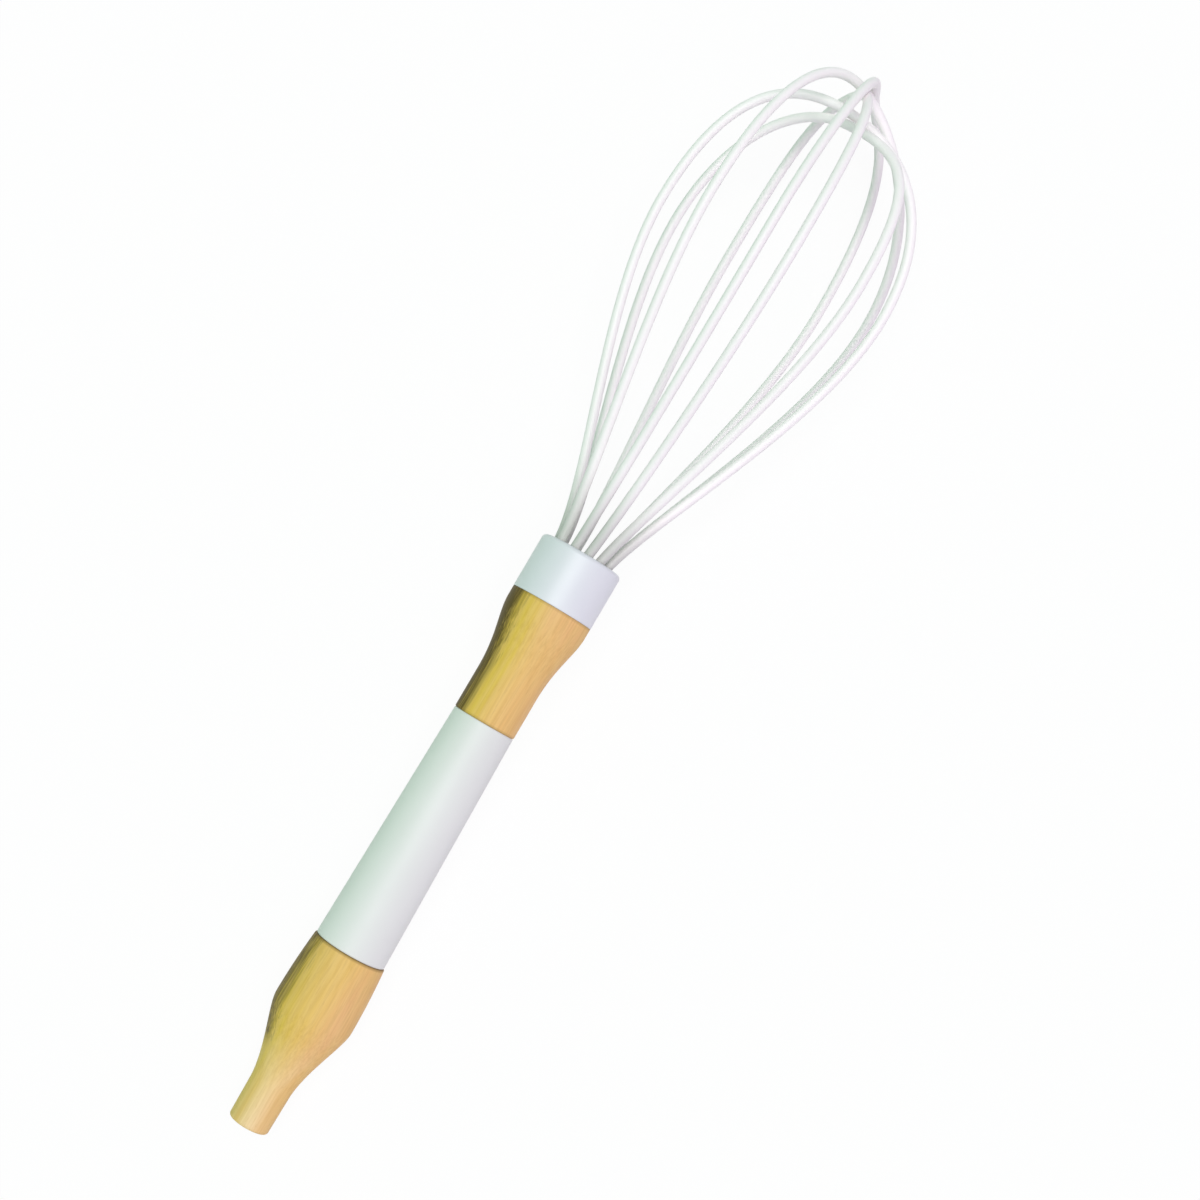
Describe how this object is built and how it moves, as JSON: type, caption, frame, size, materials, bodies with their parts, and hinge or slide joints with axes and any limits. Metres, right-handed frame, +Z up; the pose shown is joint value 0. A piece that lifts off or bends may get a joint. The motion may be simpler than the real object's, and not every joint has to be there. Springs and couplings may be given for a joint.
{
  "type": "silicone whisk",
  "caption": "Balloon whisk with silicone coated wire loops, a turned beech handle, a white grip sleeve and a white collar, lying down as it rests on a worktop.",
  "frame": {"origin": "middle of the underside of the part's box, on the surface that the whisk lies on", "axes": "+X from the tail end of the handle towards the balloon, +Y to the left, +Z up; the whisk's own axis climbs from tail to crown at 5.12 degrees"},
  "size_m": [0.3086, 0.0676, 0.0644],
  "materials": {
    "beech": "turned and oiled, satin",
    "sleeve_silicone": "moulded, satin",
    "collar_plastic": "moulded, satin",
    "holder_plastic": "moulded, matt",
    "epoxy": "cast, hidden",
    "spring_steel": "drawn wire, hidden",
    "loop_silicone": "moulded, satin"
  },
  "bodies": {
    "root": {"handle": "beech", "grip_sleeve": "sleeve_silicone", "collar": "collar_plastic", "wire_holder": "holder_plastic", "socket_glue": "epoxy", "spring_wire_1": "spring_steel", "spring_wire_2": "spring_steel", "spring_wire_3": "spring_steel", "spring_wire_4": "spring_steel", "spring_wire_5": "spring_steel", "silicone_loop_1": "loop_silicone", "silicone_loop_2": "loop_silicone", "silicone_loop_3": "loop_silicone", "silicone_loop_4": "loop_silicone", "silicone_loop_5": "loop_silicone"}
  },
  "joints": []
}
